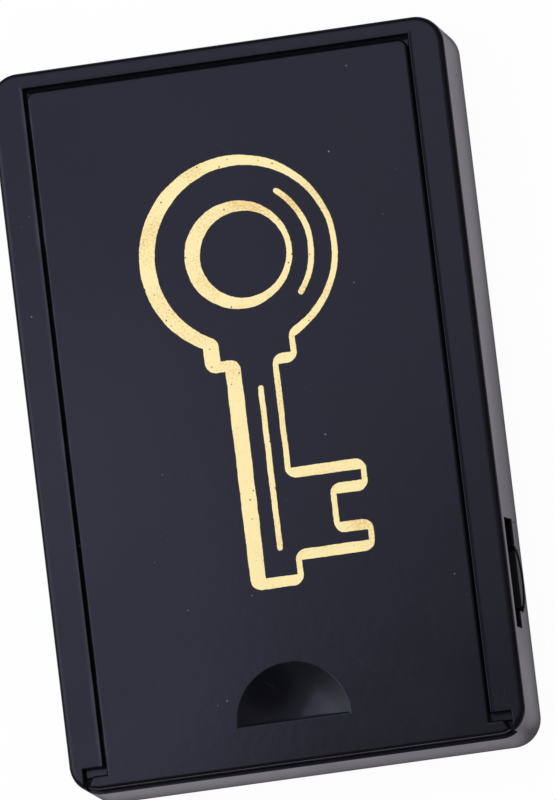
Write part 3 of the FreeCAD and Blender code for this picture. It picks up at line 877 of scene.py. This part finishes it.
class KEYBOX_OT_add_mould_marks(bpy.types.Operator):
    """Add the ejector pin marks inside and the gate stub on the back"""

    bl_idname = "keybox.add_mould_marks"
    bl_label = "Mould Marks"

    def execute(self, context):
        given = settings().marks
        floor_black = bpy.data.materials["inner_floor_black"]
        body_black = bpy.data.materials["box_black"]
        cover_black = bpy.data.materials["cover_black"]
        radius = given.pin_radius
        height = given.pin_height
        places = [(x, y, FLOOR_HIGH.z) for x, y in FLOOR_PINS]
        add_discs("inner_floor_pin_marks", places, radius, height, True, floor_black, "box")
        places = [(x, y, COVER_HIGH.z - PANEL_THICKNESS) for x, y in COVER_PINS]
        add_discs("cover_pin_marks", places, radius, height, False, cover_black, "cover")
        back = [(0.0, 0.0, BODY_LOW.z)]
        add_discs("back_gate_stub", back, given.gate_radius, given.gate_height, False, body_black, "box")
        return {"FINISHED"}


def add_lamp(name, place, turn, size, power, tint=(1.0, 1.0, 1.0)):
    """Add a soft square lamp that faces down, turned about its own middle by degrees, and return it."""
    data = bpy.data.lights.new(name, "AREA")
    data.shape = "SQUARE"
    data.size = size
    data.energy = power
    data.color = tint
    lamp = bpy.data.objects.new(name, data)
    lamp.location = place
    lamp.rotation_mode = "QUATERNION"
    lamp.rotation_quaternion = Matrix.Rotation(math.radians(turn), 3, "Z").to_quaternion()
    lamp.visible_camera = False
    bpy.context.scene.collection.objects.link(lamp)
    return lamp


def away_from_box(tree, place):
    """Return how far a place is from the box's outline, in the XY plane."""
    mirrored = add_node(tree, "ShaderNodeVectorMath", {0: place}, operation="ABSOLUTE")
    half = (BODY_HIGH.x, BODY_HIGH.y, 1.0)
    beyond = add_node(tree, "ShaderNodeVectorMath", {0: mirrored.outputs[0], 1: half}, operation="SUBTRACT")
    outside = add_node(
        tree, "ShaderNodeVectorMath", {0: beyond.outputs[0], 1: (0, 0, 0)}, operation="MAXIMUM"
    )
    reach = add_node(tree, "ShaderNodeVectorMath", {0: outside.outputs[0]}, operation="LENGTH")
    return reach.outputs["Value"]


def floor_material():
    """Pale floor that the camera sees nearly white, with the object's shadow left on it; in reflections it
    shows a painted glow beside the box and a painted shadow under its edge.
    """
    given = settings().stage
    material = bpy.data.materials.new("pale_floor")
    material.use_nodes = True
    tree = material.node_tree
    tree.nodes.remove(tree.nodes["Principled BSDF"])
    place = add_node(tree, "ShaderNodeTexCoord").outputs["Object"]
    paper = add_node(tree, "ShaderNodeTexNoise", {"Vector": place, "Scale": 900.0, "Detail": 3.0})
    fibres = maths(tree, "MULTIPLY", paper.outputs[0], given.fibre_share)
    tone = blend_colours(tree, fibres, given.floor_colour, given.fibre_colour)
    matt = add_node(tree, "ShaderNodeBsdfDiffuse", {"Color": tone})
    path = add_node(tree, "ShaderNodeLightPath")
    mirrored = path.outputs["Is Glossy Ray"]
    through = path.outputs["Is Transmission Ray"]
    shade = blend_colours(tree, mirrored, (1.0, 1.0, 1.0), given.floor_tint)
    # Painted glow in reflections, brightest beside the box and dimming further out, times a painted contact
    # shadow under the box's edge.
    away = away_from_box(tree, place)
    spread = ramp(tree, away, given.sheen_near, given.sheen_end, given.floor_sheen, given.far_sheen)
    contact_shadow = ramp(tree, away, 0.0, given.contact_shadow_reach, 1.0 - given.contact_shadow_dark, 1.0)
    sheen = maths(tree, "MULTIPLY", spread, contact_shadow)
    dimmed = maths(tree, "MULTIPLY_ADD", mirrored, maths(tree, "SUBTRACT", sheen, 1.0), 1.0)
    white = add_node(tree, "ShaderNodeEmission", {"Color": shade, "Strength": dimmed})
    seen = maths(tree, "MAXIMUM", path.outputs["Is Camera Ray"], through)
    lift = maths(tree, "MULTIPLY_ADD", seen, given.floor_white, mirrored, clamp=True)
    top = add_node(tree, "ShaderNodeMixShader", {0: lift, 1: matt.outputs[0], 2: white.outputs[0]})
    clear = add_node(tree, "ShaderNodeBsdfTransparent")
    under = add_node(tree, "ShaderNodeNewGeometry").outputs["Backfacing"]
    surface = add_node(tree, "ShaderNodeMixShader", {0: under, 1: top.outputs[0], 2: clear.outputs[0]})
    tree.links.new(surface.outputs[0], tree.nodes["Material Output"].inputs["Surface"])
    return material


def facing(tree, way, direction):
    """Return how nearly a direction of view points to a bearing and an elevation, in degrees."""
    turn, rise = (math.radians(degrees) for degrees in direction)
    goal = (math.cos(rise) * math.cos(turn), math.cos(rise) * math.sin(turn), math.sin(rise))
    nearness = add_node(tree, "ShaderNodeVectorMath", {0: way, 1: goal}, operation="DOT_PRODUCT")
    return nearness.outputs["Value"]


def studio_world():
    """Soft light that comes mostly from the left, which the camera sees as white."""
    given = settings().stage
    world = bpy.data.worlds.new("studio")
    world.use_nodes = True
    tree = world.node_tree
    way = add_node(tree, "ShaderNodeTexCoord").outputs["Generated"]
    upward = add_node(tree, "ShaderNodeSeparateXYZ", {0: way}).outputs["Z"]
    height = maths(tree, "MAXIMUM", upward, 0.0)
    unlit = ramp(tree, facing(tree, way, UNLIT_DIRECTION), *UNLIT_EDGE, 1.0, 0.0)
    ceiling = maths(tree, "MULTIPLY", maths(tree, "MULTIPLY", height, height), given.room_zenith)
    ceiling = maths(tree, "MULTIPLY", ceiling, unlit)
    steepness = maths(tree, "ABSOLUTE", upward)
    horizon = maths(tree, "MULTIPLY", ramp(tree, steepness, *HORIZON_FADE, 1.0, 0.0), given.room_horizon)
    below = maths(tree, "MULTIPLY", ramp(tree, upward, *BELOW_FADE, 1.0, 0.0), given.below)
    level = maths(tree, "ADD", ceiling, maths(tree, "ADD", horizon, below))
    room = tree.nodes["Background"]
    room.inputs["Color"].default_value = (*given.room_colour, 1.0)
    tree.links.new(maths(tree, "ADD", level, given.room_dark), room.inputs["Strength"])
    towards_key = maths(tree, "MAXIMUM", facing(tree, way, KEY_DIRECTION), 0.0)
    glow = maths(tree, "POWER", towards_key, KEY_FALL_OFF)
    strength = maths(tree, "MULTIPLY", glow, given.key_level)
    key = add_node(tree, "ShaderNodeBackground", {"Color": (*given.key_colour, 1.0), "Strength": strength})
    light = add_node(tree, "ShaderNodeAddShader", {0: room.outputs[0], 1: key.outputs[0]})
    seen = add_node(tree, "ShaderNodeBackground", {"Color": (1.0, 1.0, 1.0, 1.0), "Strength": 1.0})
    path = add_node(tree, "ShaderNodeLightPath")
    to_camera = path.outputs["Is Camera Ray"]
    mix = add_node(tree, "ShaderNodeMixShader", {0: to_camera, 1: light.outputs[0], 2: seen.outputs[0]})
    tree.links.new(mix.outputs[0], tree.nodes["World Output"].inputs["Surface"])
    return world


class KEYBOX_OT_set_stage(bpy.types.Operator):
    """Set the floor, the lamps and the camera"""

    bl_idname = "keybox.set_stage"
    bl_label = "Stage"

    def execute(self, context):
        given = settings().stage
        self.lay_floor(given)
        self.hang_lamps(given)
        self.aim_camera(given)
        scene = context.scene
        scene.world = studio_world()
        scene.view_settings.view_transform = "Standard"
        return {"FINISHED"}

    def lay_floor(self, given):
        """Lay the floor under the pole plates, open where the object hides it."""
        bm = bmesh.new()
        bmesh.ops.create_grid(bm, x_segments=1, y_segments=1, size=given.floor_size / 2)
        ring = bmesh.ops.inset_individual(bm, faces=bm.faces[:], thickness=given.floor_size / 4)["faces"]
        hole = [face for face in bm.faces if face not in ring]
        for vert in hole[0].verts:
            vert.co.x = math.copysign(BODY_HIGH.x - given.hole_inset, vert.co.x)
            vert.co.y = math.copysign(BODY_HIGH.y - given.hole_inset, vert.co.y)
        bmesh.ops.delete(bm, geom=hole, context="FACES")
        floor = object_from(bm, "studio_floor", floor_material())

    def hang_lamps(self, given):
        """Hang two dim panels over the left, and a broad fill that shows in no reflection."""
        for panel in OVERHEAD_PANELS:
            add_lamp(*panel)
        fill = add_lamp("fill", (0.0, 0.0, FILL_HEIGHT), 0.0, FILL_SIZE, given.fill_power)
        fill.visible_glossy = False

    def aim_camera(self, given):
        """Place the camera over the front, leaning to the right and to the mouth end."""
        aim = Vector((given.aim_x, given.aim_y, BODY_HIGH.z))
        lean = math.sin(given.camera_tilt)
        back = Vector(
            (
                lean * math.cos(given.camera_bearing),
                lean * math.sin(given.camera_bearing),
                math.cos(given.camera_tilt),
            )
        )
        right = Vector((0.0, 1.0, 0.0)).cross(back).normalized()
        up = back.cross(right)
        turn = Matrix((right, up, back)).transposed() @ Matrix.Rotation(given.camera_roll, 3, "Z")
        data = bpy.data.cameras.new("camera")
        data.lens = given.camera_lens
        camera = bpy.data.objects.new("camera", data)
        camera.location = aim + back * given.camera_distance
        camera.rotation_mode = "QUATERNION"
        camera.rotation_quaternion = turn.to_quaternion()
        bpy.context.scene.collection.objects.link(camera)
        bpy.context.scene.camera = camera


OPERATORS = (
    KEYBOX_OT_finish_box_body,
    KEYBOX_OT_finish_sliding_cover,
    KEYBOX_OT_finish_inner_floor,
    KEYBOX_OT_add_foil_key,
    KEYBOX_OT_add_pole_plates,
    KEYBOX_OT_add_magnets,
    KEYBOX_OT_add_mould_marks,
    KEYBOX_OT_set_stage,
)


class KEYBOX_PT_panel(bpy.types.Panel):
    """Key box steps and settings"""

    bl_label = "Key Box"
    bl_idname = "KEYBOX_PT_panel"
    bl_space_type = "VIEW_3D"
    bl_region_type = "UI"
    bl_category = "Key Box"

    def draw(self, context):
        for operator in OPERATORS:
            self.layout.operator(operator.bl_idname)
        for group in KeyBoxSettings.__annotations__:
            box = self.layout.box()
            box.label(text=group.title())
            values = getattr(context.scene.key_box, group)
            for name in type(values).__annotations__:
                box.prop(values, name)


CLASSES = (
    PlasticSettings,
    FoilSettings,
    MetalSettings,
    MarkSettings,
    StageSettings,
    KeyBoxSettings,
    *OPERATORS,
    KEYBOX_PT_panel,
)


def register():
    """Register the classes and the scene's settings."""
    for one in CLASSES:
        bpy.utils.register_class(one)
    bpy.types.Scene.key_box = bpy.props.PointerProperty(type=KeyBoxSettings)


def unregister():
    """Undo register."""
    del bpy.types.Scene.key_box
    for one in reversed(CLASSES):
        bpy.utils.unregister_class(one)


def main():
    """Build the looks in order."""
    register()
    bpy.ops.keybox.finish_box_body()
    bpy.ops.keybox.finish_sliding_cover()
    bpy.ops.keybox.finish_inner_floor()
    bpy.ops.keybox.add_foil_key()
    bpy.ops.keybox.add_pole_plates()
    bpy.ops.keybox.add_magnets()
    bpy.ops.keybox.add_mould_marks()
    bpy.ops.keybox.set_stage()


if __name__ == "__main__":
    main()
